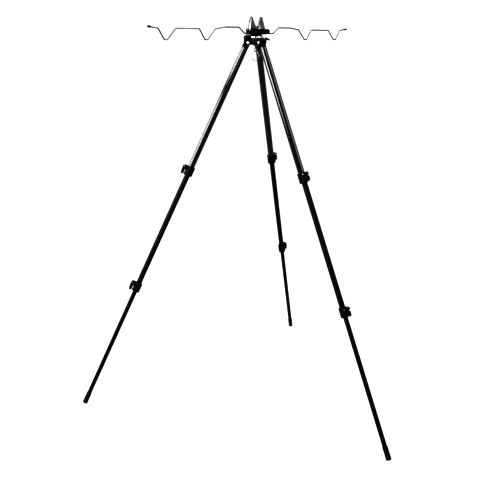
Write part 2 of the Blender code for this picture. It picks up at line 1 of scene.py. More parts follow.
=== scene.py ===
"""The looks of a folding telescopic rod-rest tripod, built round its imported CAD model.

Every piece is made in the frame of the joint or the leg that it belongs to, in metres, and rides on a
CAD body. A leg's frame has its origin on the leg's hinge, +X pointing outward and +Z running up the leg.
"""

import json
import math

import bmesh
import bpy
from mathutils import Matrix, Vector


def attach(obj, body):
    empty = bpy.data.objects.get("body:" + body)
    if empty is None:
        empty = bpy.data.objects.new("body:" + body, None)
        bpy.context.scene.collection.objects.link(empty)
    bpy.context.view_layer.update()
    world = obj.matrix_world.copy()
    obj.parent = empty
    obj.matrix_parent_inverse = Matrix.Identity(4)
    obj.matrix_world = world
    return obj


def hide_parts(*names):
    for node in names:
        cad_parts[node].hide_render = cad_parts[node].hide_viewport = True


GAP = 0.0003  # clearance between neighbouring pieces
CUT_REACH = 0.02  # how far a hole's cutter runs each way from its middle
SIDES = ("front", "right", "left")

# Telescopic legs
LEG_LENGTH = 1.212
TUBE_RADII = (0.00975, 0.00825, 0.00680)
TUBE_WALL = 0.0010
TUBE_SIDES = 96
TUBE_TOP = 0.016
GROOVE_DEPTH = 0.0007
GROOVE_HALF_WIDTH = math.radians(9)
GROOVE_ANGLES = (math.radians(30), math.radians(210))
LOCK_PLACES = (0.404, 0.794)
TUBE_ENDS = (LOCK_PLACES[0] + 0.002, LOCK_PLACES[1] + 0.002, LEG_LENGTH - 0.018)
TUBE_STARTS = (TUBE_TOP, LOCK_PLACES[0] - 0.030, LOCK_PLACES[1] - 0.030)
PLUG_DEPTH = 0.012
BUSH_HEAD = 0.007
BUSH_CHAMFER = 0.0008
FOOT_TOP = LEG_LENGTH - 0.040
KNUCKLE_PLUG_END = 0.044
TONGUE_HALF = 0.005
TONGUE_RADIUS = 0.009
BOLT_RADIUS = 0.003

# Flip locks, in a frame with +X towards the lever and its origin in the middle of the collar
LOCK_TURN = math.radians(-16)
LOCK_HALF = 0.0145
LOCK_RADII = (0.0132, 0.0122)
LEVER_PIN = (0.0185, 0.008)
LEVER_HEAD = 0.0048
PIN_RADIUS = 0.0016
EAR_INNER = 0.0046
EAR_OUTER = 0.0086

# Head, with heights above the leg hinges
HINGE_RADIUS = 0.025
LEG_AZIMUTHS = (-90, 30, 150)
CLEVIS_HALF = 0.012
CLEVIS_REACH = 0.033
CLEVIS_TOPS = (0.0125, 0.0216, 0.0216)
HUB_BOTTOM = -0.006
CORE_RADIUS = 0.017
CORE_TOP = 0.0220
CENTRE_BOLT_RADIUS = 0.0039
HEAD_BOTTOM = 0.0224
HEAD_TOP = 0.038
HEAD_HALF_X = 0.025
HEAD_FRONT = -0.020
HEAD_BACK = 0.018
FORK_SEAT = 0.033
FORK_HALF_DEPTH = 0.009
FORK_TIP_HALF_DEPTH = 0.0045
FORK_TAPER_START = 0.038
FORK_TIP = 0.072
FORK_VALLEY = 0.042
FORK_PIN_RADIUS = 0.0014
SWIVEL_LEVER_AZIMUTH = math.radians(-54)
CLAMP_RADIUS = 0.0190
CLAMP_BOTTOM = 0.0131
CLAMP_TOP = 0.0170
BELOW_HUB = -0.02  # this and the next three are where cutters end, well past the pieces
ABOVE_HUB = 0.03
ABOVE_HEAD = 0.06
BEYOND_HEAD = 0.05

# Wire arms
WIRE_RADIUS = 0.0023
WIRE_SIDES = 24
ARM_Y = -0.014
ARM_PIN_X = 0.030
ARM_PIN_Z = 0.0306
ARM_PIN_RADIUS = 0.0025
ARM_EYE = ARM_PIN_RADIUS + GAP + WIRE_RADIUS
LUG_RADIUS = 0.0075
LUG_BACK = -0.007
NOTCH_DEPTH = 0.028
ARM_LEVEL = 0.0365
ARM_RISE = 0.0415
ARM_TIP = 0.383
NOTCH_PLACES = (0.195, 0.329)
NOTCH_INNER = 0.032
NOTCH_OUTER = 0.024
NOTCH_FLOOR = 0.005
CAP_LENGTH = 0.010

# Hanging ring
EYE_RADIUS = 0.005
EYE_WIRE = 0.0013
EYE_HEIGHT = -0.020
RING_RADIUS = 0.014
RING_WIRE = 0.0009

# Camera
CAMERA_PLACE = (-1.4056, -1.3409, 1.0931)
CAMERA_HEADING = math.radians(40.25)  # clockwise from +Y
CAMERA_DIP = math.radians(15.54)
CAMERA_ROLL = math.radians(-0.28)
CAMERA_LENS = 51.2
CAMERA_SHIFT = (0.052, -0.0125)

# Studio
FLOOR_HALF = 40.0
FLOOR_DEPTH = 0.02
SKY_FADE = (0.09, 0.24)  # sines of the elevations between which the sky darkens
SKY_LEVELS = (1.05, 0.16)  # the brightness below the fade and above it
LIGHT_TARGET = Vector((0, 0.13, 1.05))  # a little behind and below the head
SOFTBOXES = (  # name, azimuth and elevation in degrees, distance, width and height, power in watts
    ("left_light", 167, 13, 2.6, (1.0, 0.8), 226),
    ("high_left_light", 182, 30, 2.6, (0.9, 0.6), 190),
    ("low_horn_light", 130, 22, 2.6, (0.35, 0.4), 4),
    ("high_horn_light", 123, 34, 2.6, (1.2, 1.2), 40),
    ("line_light", 234, 10, 2.6, (0.25, 0.7), 8),
    ("right_light", 290, 30, 2.6, (1.9, 1.4), 95),
    ("top_light", -120, 75, 2.8, (2.0, 2.0), 60),
)

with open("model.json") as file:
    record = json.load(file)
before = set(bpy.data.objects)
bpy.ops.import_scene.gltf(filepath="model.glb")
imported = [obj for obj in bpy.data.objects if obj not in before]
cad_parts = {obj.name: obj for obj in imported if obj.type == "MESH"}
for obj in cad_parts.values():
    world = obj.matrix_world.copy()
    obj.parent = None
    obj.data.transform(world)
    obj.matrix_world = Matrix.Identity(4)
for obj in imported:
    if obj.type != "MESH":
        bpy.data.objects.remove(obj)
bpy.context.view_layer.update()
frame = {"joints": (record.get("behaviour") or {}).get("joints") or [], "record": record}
JOINTS = {joint["name"]: joint for joint in frame["joints"]}


# ---------------------------------------------------------------- shapes


def finished(bm, name):
    """The mesh of a closed shape, facing out."""
    bmesh.ops.recalc_face_normals(bm, faces=bm.faces)
    mesh = bpy.data.meshes.new(name)
    bm.to_mesh(mesh)
    bm.free()
    return mesh


def lofted(rings, closed=False):
    """A skin over rings of points. A closed one runs back to its first ring, and an open one is capped."""
    bm = bmesh.new()
    loops = [[bm.verts.new(point) for point in ring] for ring in rings]
    followers = loops[1:] + loops[:1] if closed else loops[1:]
    for low, high in zip(loops, followers):
        for i in range(len(low)):
            j = (i + 1) % len(low)
            bm.faces.new((low[i], low[j], high[j], high[i]))
    if not closed:
        bm.faces.new(loops[0][::-1])
        bm.faces.new(loops[-1])
    return bm


def circle(radius, z, sides):
    """Points round a level circle on the Z axis."""
    turns = [2 * math.pi * i / sides for i in range(sides)]
    return [(radius * math.cos(t), radius * math.sin(t), z) for t in turns]


def turned(profile, sides=48, hollow=False):
    """A shape turned about Z from (radius, z) points. A hollow one's profile runs round its whole wall."""
    return lofted([circle(radius, z, sides) for radius, z in profile], closed=hollow)


def extruded(outline, low, high, plane="XY"):
    """An outline of (a, b) points pushed out from low to high, along the axis that its plane leaves."""
    place = {
        "XY": lambda a, b, depth: (a, b, depth),
        "XZ": lambda a, b, depth: (a, depth, b),
    }[plane]
    return lofted([[place(a, b, depth) for a, b in outline] for depth in (low, high)])


def box(low, high):
    """A box between two opposite corners."""
    outline = [(low[0], low[1]), (high[0], low[1]), (high[0], high[1]), (low[0], high[1])]
    return extruded(outline, low[2], high[2])


def cylinder(radius, start, end, sides=32):
    """A cylinder between two points on any axis."""
    axis = Vector(end) - Vector(start)
    bm = turned([(radius, 0), (radius, axis.length)], sides)
    bm.transform(Matrix.Translation(start) @ axis.to_track_quat("Z", "Y").to_matrix().to_4x4())
    return bm


def cross_hole(pin_radius, x, z):
    """The cutter for a pin's hole along Y, with clearance round the pin."""
    return cylinder(pin_radius + GAP, (x, -CUT_REACH, z), (x, CUT_REACH, z))


def arc(centre, radius, start, end, steps):
    """Points on an arc in the plane, with angles in degrees."""
    points = []
    for i in range(steps + 1):
        turn = math.radians(start + (end - start) * i / steps)
        points.append((centre[0] + radius * math.cos(turn), centre[1] + radius * math.sin(turn)))
    return points


def filleted(corners, steps):
    """A path through (x, z, fillet radius) corners, each rounded by an arc of that radius."""
    path = [Vector(corners[0][:2])]
    for before, here, after in zip(corners, corners[1:], corners[2:]):
        corner = Vector(here[:2])
        back = (Vector(before[:2]) - corner).normalized()
        on = (Vector(after[:2]) - corner).normalized()
        half = back.angle(on) / 2
        centre = corner + (back + on).normalized() * (here[2] / math.sin(half))
        start = corner + back * (here[2] / math.tan(half)) - centre
        turn = (math.pi - 2 * half) * (1 if back.cross(on) < 0 else -1)
        for i in range(steps + 1):
            path.append(centre + Matrix.Rotation(turn * i / steps, 2) @ start)
    path.append(Vector(corners[-1][:2]))
    return path


def swept(path, radius, sides, closed=False):
    """A round wire along a path of (x, z) points in the XZ plane."""
    rings = []
    count = len(path)
    for i, point in enumerate(path):
        before = path[i - 1] if i or closed else point
        after = path[(i + 1) % count] if i + 1 < count or closed else point
        along = (Vector(after) - Vector(before)).normalized()
        side = Vector((-along.y, along.x))
        ring = []
        for x, y, _ in circle(radius, 0, sides):
            ring.append((point[0] + side.x * x, y, point[1] + side.y * x))
        rings.append(ring)
    return lofted(rings, closed)


def wire_ring(height, radius, wire_radius):
    """A round wire bent to a closed ring in the XZ plane."""
    return swept(arc((0, height), radius, 0, 355, 71), wire_radius, 20, closed=True)


def worked(bm, name, add, cut, bevel, steps):
    """The mesh of a shape joined with some others, cut by some, and rounded at its edges."""
    obj = bpy.data.objects.new(name, finished(bm, name))
    bpy.context.scene.collection.objects.link(obj)
    helpers = []
    for operation, others in (("UNION", add), ("DIFFERENCE", cut)):
        for other in others:
            helper = bpy.data.objects.new("helper", finished(other, "helper"))
            bpy.context.scene.collection.objects.link(helper)
            modifier = obj.modifiers.new(operation, "BOOLEAN")
            modifier.operation = operation
            modifier.object = helper
            helpers.append(helper)
    if bevel:
        modifier = obj.modifiers.new("rounding", "BEVEL")
        modifier.width = bevel
        modifier.segments = steps
        modifier.angle_limit = math.radians(32)
        modifier.harden_normals = True
    graph = bpy.context.evaluated_depsgraph_get()
    mesh = bpy.data.meshes.new_from_object(obj.evaluated_get(graph), depsgraph=graph)
    mesh.name = name
    for extra in [obj, *helpers]:
        bpy.data.objects.remove(extra)
    return mesh


def joined(bm, add=(), cut=()):
    """A shape joined with some others and cut by some, to be worked on further."""
    result = bmesh.new()
    result.from_mesh(worked(bm, "joined", add, cut, 0.0, 0))
    return result


def shaped(bm, name, add=(), cut=(), bevel=0.0, steps=3):
    """A smooth-shaded mesh: the shape joined with some others, cut by some, and rounded at its edges."""
    mesh = worked(bm, name, add, cut, bevel, steps)
    mesh.shade_smooth()
    mesh.set_sharp_from_angle(angle=math.radians(40))
    return mesh


def grooved(radius, z):
    """A tube's cross-section, with a rounded keyway at each groove."""
    points = []
    for i in range(TUBE_SIDES):
        angle = 2 * math.pi * i / TUBE_SIDES
        here = radius
        for groove in GROOVE_ANGLES:
            share = abs(angle - groove) / GROOVE_HALF_WIDTH
            if share < 1:
                here -= GROOVE_DEPTH * (0.5 + 0.5 * math.cos(math.pi * share))
        points.append((here * math.cos(angle), here * math.sin(angle), z))
    return points


# ---------------------------------------------------------------- materials


def add_node(tree, kind, inputs=None, **settings):
    """A shader node. An input is a socket to link from, or a value."""
    node = tree.nodes.new(kind)
    for key, value in settings.items():
        setattr(node, key, value)
    for key, value in (inputs or {}).items():
        if isinstance(value, bpy.types.NodeSocket):
            tree.links.new(value, node.inputs[key])
        else:
            node.inputs[key].default_value = value
    return node


def noise(tree, scale, detail=4.0, stretch=(1, 1, 1), rough=0.55):
    """A noise over the piece's own coordinates, in metres. It runs long where the stretch is small."""
    coords = add_node(tree, "ShaderNodeTexCoord")
    place = add_node(tree, "ShaderNodeMapping", {"Vector": coords.outputs["Object"], "Scale": stretch})
    inputs = {"Vector": place.outputs[0], "Scale": scale, "Detail": detail, "Roughness": rough}
    return add_node(tree, "ShaderNodeTexNoise", inputs).outputs[0]


def ramp(tree, value, low, high, start, end):
    """The value taken from the range low to high onto the range start to end."""
    inputs = {0: value, 1: low, 2: high, 3: start, 4: end}
    return add_node(tree, "ShaderNodeMapRange", inputs).outputs[0]


def multiply(tree, a, b):
    """The product of two values."""
    return add_node(tree, "ShaderNodeMath", {0: a, 1: b}, operation="MULTIPLY").outputs[0]


def blended(tree, share, a, b):
    """Colour a where the share is 0, and b where it is 1."""
    node = add_node(tree, "ShaderNodeMix", data_type="RGBA")
    for key, value in (("Factor", share), ("A", a), ("B", b)):
        socket = [s for s in node.inputs if s.name == key and s.enabled][0]
        if isinstance(value, bpy.types.NodeSocket):
            tree.links.new(value, socket)
        else:
            socket.default_value = (*value, 1)
    return [s for s in node.outputs if s.enabled][0]


def edges(tree, radius):
    """1 on worn outer edges and 0 on open faces."""
    bevel = add_node(tree, "ShaderNodeBevel", {"Radius": radius}, samples=4)
    geometry = add_node(tree, "ShaderNodeNewGeometry")
    pair = {0: bevel.outputs[0], 1: geometry.outputs["Normal"]}
    match = add_node(tree, "ShaderNodeVectorMath", pair, operation="DOT_PRODUCT").outputs["Value"]
    return ramp(tree, match, 0.97, 0.80, 0.0, 1.0)


def bumped(tree, *layers):
    """A normal from (height, strength, distance) layers, each over the last."""
    normal = None
    for height, strength, distance in layers:
        inputs = {"Height": height, "Strength": strength, "Distance": distance}
        if normal:
            inputs["Normal"] = normal
        normal = add_node(tree, "ShaderNodeBump", inputs).outputs[0]
    return normal


def surface(name, metallic=0.0, **constants):
    """A material, its node tree and its Principled shader."""
    mat = bpy.data.materials.new(name)
    mat.use_nodes = True
    shader = mat.node_tree.nodes["Principled BSDF"]
    shader.inputs["Metallic"].default_value = metallic
    for key, value in constants.items():
        shader.inputs[key.replace("_", " ")].default_value = value
    return mat, mat.node_tree, shader


def dress(tree, shader, colour, roughness, normal):
    """Links a material's colour, roughness and normal to its shader."""
    tree.links.new(colour, shader.inputs["Base Color"])
    tree.links.new(roughness, shader.inputs["Roughness"])
    tree.links.new(normal, shader.inputs["Normal"])


def tube_material(name, roughness, scratches, shine):
    """Black lacquer on drawn aluminium, with fine scratches along the tube from its sliding."""
    mat, tree, shader = surface(name, Specular_IOR_Level=shine)
    cloud = noise(tree, 14, 3)
    along = noise(tree, 900, 2, (1, 1, 0.012), 0.6)
    marks = ramp(tree, along, 0.66, 0.74, 0.0, scratches)
    marks = multiply(tree, marks, ramp(tree, cloud, 0.45, 0.65, 0.0, 1.0))
    worn = multiply(tree, edges(tree, 0.0004), 0.5)
    base = blended(tree, cloud, (0.0005, 0.0005, 0.0006), (0.0011, 0.0011, 0.0012))
    scuffed = blended(tree, marks, base, (0.007, 0.007, 0.0073))
    colour = blended(tree, worn, scuffed, (0.03, 0.03, 0.031))
    rough = ramp(tree, cloud, 0.3, 0.7, roughness * 0.8, roughness * 1.25)
    orange_peel = noise(tree, 650, 2)
    dress(tree, shader, colour, rough, bumped(tree, (orange_peel, 0.06, 0.0002), (along, 0.05, 0.0001)))
    return mat


def plastic_material(name, low, high, worn_colour, roughness, shine):
    """Moulded plastic with a fine spark grain, and a polish along its worn edges."""
    mat, tree, shader = surface(name, Specular_IOR_Level=shine)
    cloud = noise(tree, 55, 4)
    grain = noise(tree, 3800, 3)
    worn = multiply(tree, edges(tree, 0.0006), ramp(tree, cloud, 0.40, 0.62, 0.15, 0.9))
    colour = blended(tree, worn, blended(tree, cloud, low, high), worn_colour)
    rough = ramp(tree, noise(tree, 120, 3), 0.35, 0.65, roughness - 0.07, roughness + 0.07)
    dress(tree, shader, colour, rough, bumped(tree, (grain, 0.22, 0.00012), (cloud, 0.05, 0.0004)))
    return mat


def rubber_material(name):
    """Matt rubber that holds a little pale dust."""
    mat, tree, shader = surface(name, Specular_IOR_Level=0.03)
    cloud = noise(tree, 80, 5)
    dust = ramp(tree, noise(tree, 260, 5), 0.52, 0.72, 0.0, 0.35)
    base = blended(tree, cloud, (0.0007, 0.0007, 0.0007), (0.0018, 0.0018, 0.0018))
    colour = blended(tree, dust, base, (0.007, 0.0065, 0.006))
    rough = ramp(tree, cloud, 0.3, 0.7, 0.68, 0.86)
    dress(tree, shader, colour, rough, bumped(tree, (noise(tree, 2400, 4), 0.35, 0.0002)))
    return mat


def steel_material(name, tint, roughness):
    """Plated steel with fine machining lines, and a dull film in patches."""
    mat, tree, shader = surface(name, metallic=1.0)
    film = noise(tree, 130, 4)
    lines = noise(tree, 5200, 2, (1, 1, 0.10))
    dull = tuple(c * 0.62 for c in tint)
    colour = blended(tree, ramp(tree, film, 0.45, 0.75, 0.0, 0.8), tint, dull)
    rough = ramp(tree, film, 0.3, 0.7, roughness * 0.8, roughness * 1.4)
    dress(tree, shader, colour, rough, bumped(tree, (lines, 0.10, 0.00008)))
    return mat


def chrome_material(name):
    """Dark chrome with hairline scratches and faint water marks, to stand out against a white studio."""
    mat, tree, shader = surface(name, metallic=1.0)
    film = noise(tree, 45, 4)
    hairs = noise(tree, 2600, 2, (0.05, 1, 1))
    clean, marked = (0.065, 0.065, 0.067), (0.048, 0.047, 0.046)
    colour = blended(tree, ramp(tree, film, 0.50, 0.80, 0.0, 0.6), clean, marked)
    rough = ramp(tree, film, 0.35, 0.75, 0.05, 0.16)
    dress(tree, shader, colour, rough, bumped(tree, (hairs, 0.05, 0.00006)))
    return mat


MATERIALS = {
    "gloss_black_tube": tube_material("gloss_black_tube", 0.05, 0.5, 0.12),
    "satin_black_tube": tube_material("satin_black_tube", 0.42, 0.9, 0.02),
    "black_plastic": plastic_material(
        "black_plastic", (0.0006,) * 3, (0.0013,) * 3, (0.006,) * 3, 0.38, 0.015
    ),
    "dark_fork_plastic": plastic_material(
        "dark_fork_plastic", (0.006, 0.0063, 0.005), (0.010, 0.0105, 0.008), (0.03, 0.03, 0.024), 0.16, 0.6
    ),
    "grey_nylon": plastic_material(
        "grey_nylon", (0.26, 0.26, 0.25), (0.33, 0.33, 0.32), (0.40, 0.40, 0.40), 0.5, 0.5
    ),
    "black_rubber": rubber_material("black_rubber"),
    "bright_steel": steel_material("bright_steel", (0.36, 0.36, 0.355), 0.20),
    "blackened_steel": steel_material("blackened_steel", (0.05, 0.05, 0.05), 0.34),
    "chromed_wire": chrome_material("chromed_wire"),
}


# ---------------------------------------------------------------- placing


BODY_OF = {
    node: body for body, nodes in frame["record"]["behaviour"]["bodies"].items() for node in nodes
}


def show(node, mesh, mat, matrix):
    """A detailed piece that stands for one CAD node, on the same body."""
    if not mesh.materials:
        mesh.materials.append(MATERIALS[mat])
    obj = bpy.data.objects.new(f"{node}_look", mesh)
    bpy.context.scene.collection.objects.link(obj)
    obj.matrix_world = matrix
    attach(obj, BODY_OF[node])
    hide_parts(node)


def leg_frame(side):
    """A leg's own frame, read from its hinge and its slides."""
    hinge = JOINTS[f"{side}_leg_fold"]
    up = Vector(JOINTS[f"{side}_middle_slide"]["axis"]).normalized()
    across = Vector(hinge["axis"]).normalized()
    turn = Matrix((across.cross(up), across, up)).transposed().to_4x4()
    return Matrix.Translation(hinge["pos_m"]) @ turn


def hinge_frame(side):
    """The upright frame on a leg's hinge, which the hinge bolt is made in."""
    hinge = JOINTS[f"{side}_leg_fold"]
    across = Vector(hinge["axis"]).normalized()
    turn = Matrix((across.cross(Vector((0, 0, 1))), across, (0, 0, 1))).transposed().to_4x4()
    return Matrix.Translation(hinge["pos_m"]) @ turn


# ---------------------------------------------------------------- legs


def tube_mesh(level):
    """A grooved pipe with rolled lips at both ends."""
    outer = TUBE_RADII[level]
    inner = outer - TUBE_WALL
    top, bottom = -TUBE_STARTS[level], -TUBE_ENDS[level]
    lip = 0.0003
    walls = [(inner, bottom + lip), (inner + lip, bottom), (outer - lip, bottom), (outer, bottom + lip)]
    walls += [(outer, top - lip), (outer - lip, top), (inner + lip, top), (inner, top - lip)]
    return shaped(lofted([grooved(radius, z) for radius, z in walls], closed=True), f"tube_{level}")


def bush_mesh(level):
    """The guide bush in a section's top end, with a chamfered head."""
    top = -TUBE_STARTS[level] + GAP
    plug = TUBE_RADII[level] - TUBE_WALL - GAP
    head = TUBE_RADII[level - 1] - TUBE_WALL - GAP
    walls = [(plug, top - PLUG_DEPTH), (plug, top), (head, top), (head, top + BUSH_HEAD - BUSH_CHAMFER)]
    walls.append((head - BUSH_CHAMFER, top + BUSH_HEAD))
    return shaped(lofted([grooved(radius, z) for radius, z in walls]), f"bush_{level}")


def knuckle_mesh():
    """The leg's top plug: a drilled tongue, a stepped shoulder and a plug inside the upper tube."""
    root = -TUBE_TOP + 0.001
    outline = [*arc((0, 0), TONGUE_RADIUS, 180, 0, 32), (TONGUE_RADIUS, root), (-TONGUE_RADIUS, root)]
    tongue = extruded(outline, -TONGUE_HALF, TONGUE_HALF, "XZ")
    outer = TUBE_RADII[0]
    profile = [(outer - 0.0004, -TUBE_TOP + GAP), (outer, -TUBE_TOP + 0.0009), (outer, -0.0125)]
    profile += [(outer - 0.0006, -0.0115), (0.0080, -0.0100)]
    shoulder = turned(profile, TUBE_SIDES)
    plug = lofted([grooved(outer - TUBE_WALL - GAP, z) for z in (-KNUCKLE_PLUG_END, root)])
    hole = cross_hole(BOLT_RADIUS, 0, 0)
    return shaped(tongue, "leg_knuckle", [shoulder, plug], [hole], bevel=0.0005)


def foot_mesh():
    """A rubber boot with grip rings and a blunt rounded tip."""
    bore = TUBE_RADII[2] + GAP
    end = TUBE_ENDS[2] + GAP
    profile = [(0.0012, -end), (bore, -end), (bore, -FOOT_TOP), (0.0074, -FOOT_TOP)]
    profile += [(0.0079, -FOOT_TOP - 0.0005), (0.0080, -FOOT_TOP - 0.0012), (0.0080, -FOOT_TOP - 0.0072)]
    first_ring, ring_pitch = 0.0086, 0.0034
    for ring in range(5):
        z = -FOOT_TOP - first_ring - ring_pitch * ring
        profile += [(0.0075, z), (0.0075, z - 0.0008), (0.0079, z - 0.0013), (0.0079, z - 0.0026)]
    profile += [(0.0080, -FOOT_TOP - 0.0280), (0.0080, -LEG_LENGTH + 0.0048)]
    profile += [(0.0077, -LEG_LENGTH + 0.0037), (0.0070, -LEG_LENGTH + 0.0029)]
    profile += [(0.0050, -LEG_LENGTH + 0.0019), (0.0012, -LEG_LENGTH + 0.0008)]
    return shaped(turned(profile, 64), "foot_tip")


def collar_mesh(level):
    """A flip lock's split collar, with a raised band at each end and two ears for its lever."""
    radius = LOCK_RADII[level]
    wide = TUBE_RADII[level] + GAP
    narrow = TUBE_RADII[level + 1] + GAP
    step = LOCK_PLACES[level] - TUBE_ENDS[level] - GAP
    sunk = radius - 0.0006
    band, chamfer, slope = 0.0046, 0.0012, 0.0005
    profile = [(narrow, -LOCK_HALF), (radius - chamfer, -LOCK_HALF), (radius, -LOCK_HALF + chamfer)]
    profile += [(radius, -LOCK_HALF + band), (sunk, -LOCK_HALF + band + slope)]
    profile += [(sunk, LOCK_HALF - band - slope), (radius, LOCK_HALF - band)]
    profile += [(radius, LOCK_HALF - chamfer), (radius - chamfer, LOCK_HALF), (wide, LOCK_HALF)]
    profile += [(wide, step), (narrow, step)]
    rounded = arc(LEVER_PIN, LEVER_HEAD, -60, 90, 18)
    root = wide + 0.0012
    outline = [(root, 0), *rounded, (root, LOCK_HALF - 0.001)]
    ears = [
        extruded(outline, -EAR_OUTER, -EAR_INNER, "XZ"),
        extruded(outline, EAR_INNER, EAR_OUTER, "XZ"),
    ]
    rib_half = 0.0011
    ribs = []
    for angle in (100, 130, 180, 230, 260):
        rib = box((sunk - 0.001, -rib_half, -LOCK_HALF + band), (radius, rib_half, LOCK_HALF - band))
        rib.transform(Matrix.Rotation(math.radians(angle), 4, "Z"))
        ribs.append(rib)
    split_half = 0.0008
    split = box((0, -split_half, -CUT_REACH), (CUT_REACH, split_half, step - 0.004))
    cuts = [cross_hole(PIN_RADIUS, *LEVER_PIN), split]
    collar = turned(profile, 64, hollow=True)
    return shaped(collar, f"collar_{level}", [*ears, *ribs], cuts, bevel=0.0003, steps=2)


def lever_mesh(level):
    """The cam lever: a round head between the ears, and a broad tail with three grip bars."""
    pin_x, pin_z = LEVER_PIN
    inner = LOCK_RADII[level] + 0.0012
    bottom = -LOCK_HALF + 0.0005
    back = inner + 0.0075
    outer = (pin_x + LEVER_HEAD, 0.0)
    tail = [(inner, bottom), (back - 0.0012, bottom), (back, bottom + 0.0014)]
    head = arc((pin_x, pin_z), LEVER_HEAD, 0, 180, 32)
    half = EAR_INNER - GAP
    neck = extruded([*tail, outer, *head, (inner, 0.0)], -half, half, "XZ")
    neck_bottom = pin_z - LEVER_HEAD - 2 * GAP - 0.002
    wide_outline = [*tail, (outer[0] - 0.0003, neck_bottom), (inner, neck_bottom)]
    wide = extruded(wide_outline, -EAR_OUTER, EAR_OUTER, "XZ")
    bars = []
    bar_radius, bar_half = 0.0006, EAR_OUTER - 0.0014
    for step in range(3):
        x = back + 0.00002 + 0.0001 * step
        z = bottom + 0.0030 + 0.0024 * step
        bars.append(cylinder(bar_radius, (x, -bar_half, z), (x, bar_half, z), 16))
    return shaped(neck, f"lever_{level}", [wide, *bars], [cross_hole(PIN_RADIUS, *LEVER_PIN)], bevel=0.0006)


def pin_mesh():
    """A lever's pin, with chamfered ends."""
    end, chamfer = EAR_OUTER, 0.0004
    profile = [(PIN_RADIUS - chamfer, -end), (PIN_RADIUS, -end + chamfer)]
    profile += [(PIN_RADIUS, end - chamfer), (PIN_RADIUS - chamfer, end)]
    bm = turned(profile, 32)
    bm.transform(Matrix.Rotation(math.pi / 2, 4, "X"))
    return shaped(bm, "lock_pin")


def bolt_mesh():
    """A hinge bolt along Y, with a domed head that has a hexagon socket."""
    dome = [(0.0012, 0.0034), (0.0022, 0.0032), (0.0033, 0.0025), (0.0041, 0.0014), (0.0043, 0.0007)]
    profile = [*dome, (0.0043, GAP), (BOLT_RADIUS, GAP), (BOLT_RADIUS, -2 * CLEVIS_HALF - 0.0022)]
    socket = cylinder(0.0021, (0, 0, 0.0016), (0, 0, 0.006), 6)
    mesh = shaped(turned(profile), "leg_pivot_bolt", cut=[socket])
    mesh.transform(Matrix.Translation((0, -CLEVIS_HALF, 0)) @ Matrix.Rotation(math.pi / 2, 4, "X"))
    return mesh


def nut_mesh():
    """The cap nut on a hinge bolt's far end: a hexagon with a domed cap and a blind bore."""
    hexagon = turned([(0.0046, GAP), (0.0046, 0.0020), (0.0040, 0.0026)], 6)
    cap = [(0.0035, 0.0012), (0.0035, 0.0024), (0.0029, 0.0034), (0.0019, 0.0040), (0.0008, 0.0042)]
    bore = cylinder(BOLT_RADIUS + GAP, (0, 0, -0.002), (0, 0, 0.0026))
    mesh = shaped(hexagon, "leg_pivot_nut", [turned(cap)], [bore], bevel=0.0002, steps=2)
    mesh.transform(Matrix.Translation((0, CLEVIS_HALF, 0)) @ Matrix.Rotation(-math.pi / 2, 4, "X"))
    return mesh


def build_legs():
    """The three legs, which share one mesh for each kind of piece."""
    tubes = [tube_mesh(level) for level in range(3)]
    bushes = [bush_mesh(level) for level in (1, 2)]
    collars = [collar_mesh(level) for level in range(2)]
    levers = [lever_mesh(level) for level in range(2)]
    knuckle, foot, pin = knuckle_mesh(), foot_mesh(), pin_mesh()
    bolt, nut = bolt_mesh(), nut_mesh()
    for side in SIDES:
        leg = leg_frame(side)
        show(f"{side}_leg_pivot_bolt", bolt, "bright_steel", hinge_frame(side))
        show(f"{side}_leg_pivot_nut", nut, "bright_steel", hinge_frame(side))
        show(f"{side}_leg_knuckle", knuckle, "black_plastic", leg)
        show(f"{side}_upper_tube", tubes[0], "gloss_black_tube", leg)
        show(f"{side}_middle_tube", tubes[1], "satin_black_tube", leg)
        show(f"{side}_lower_tube", tubes[2], "satin_black_tube", leg)
        show(f"{side}_middle_bush", bushes[0], "grey_nylon", leg)
        show(f"{side}_lower_bush", bushes[1], "grey_nylon", leg)
        show(f"{side}_foot_tip", foot, "black_rubber", leg)
        for level, name in enumerate(("upper", "lower")):
            lock = f"{side}_{name}_lock"
            place = Matrix.Translation((0, 0, -LOCK_PLACES[level])) @ Matrix.Rotation(LOCK_TURN, 4, "Z")
            pin_place = Matrix.Translation((LEVER_PIN[0], 0, LEVER_PIN[1]))
            show(f"{lock}_collar", collars[level], "black_plastic", leg @ place)
            show(f"{lock}_lever", levers[level], "black_plastic", leg @ place)
            show(f"{lock}_pin", pin, "bright_steel", leg @ place @ pin_place)


# ---------------------------------------------------------------- head


def clevis_shape(top):
    """One clevis along +X, from inside the core out to its nose, cut back for the clamp ring."""
    inner, radius = 0.009, 0.006
    nose = [(CLEVIS_REACH, 0.0), (CLEVIS_REACH, top - radius)]
    nose += arc((CLEVIS_REACH - radius, top - radius), radius, 10, 90, 8)
    outline = [(inner, HUB_BOTTOM), (CLEVIS_REACH - 0.004, HUB_BOTTOM), *nose, (inner, top)]
    block = extruded(outline, -CLEVIS_HALF, CLEVIS_HALF, "XZ")
    seat = cylinder(CLAMP_RADIUS + 2 * GAP, (0, 0, CLAMP_BOTTOM - GAP), (0, 0, ABOVE_HUB), 96)
    return joined(block, cut=[seat])


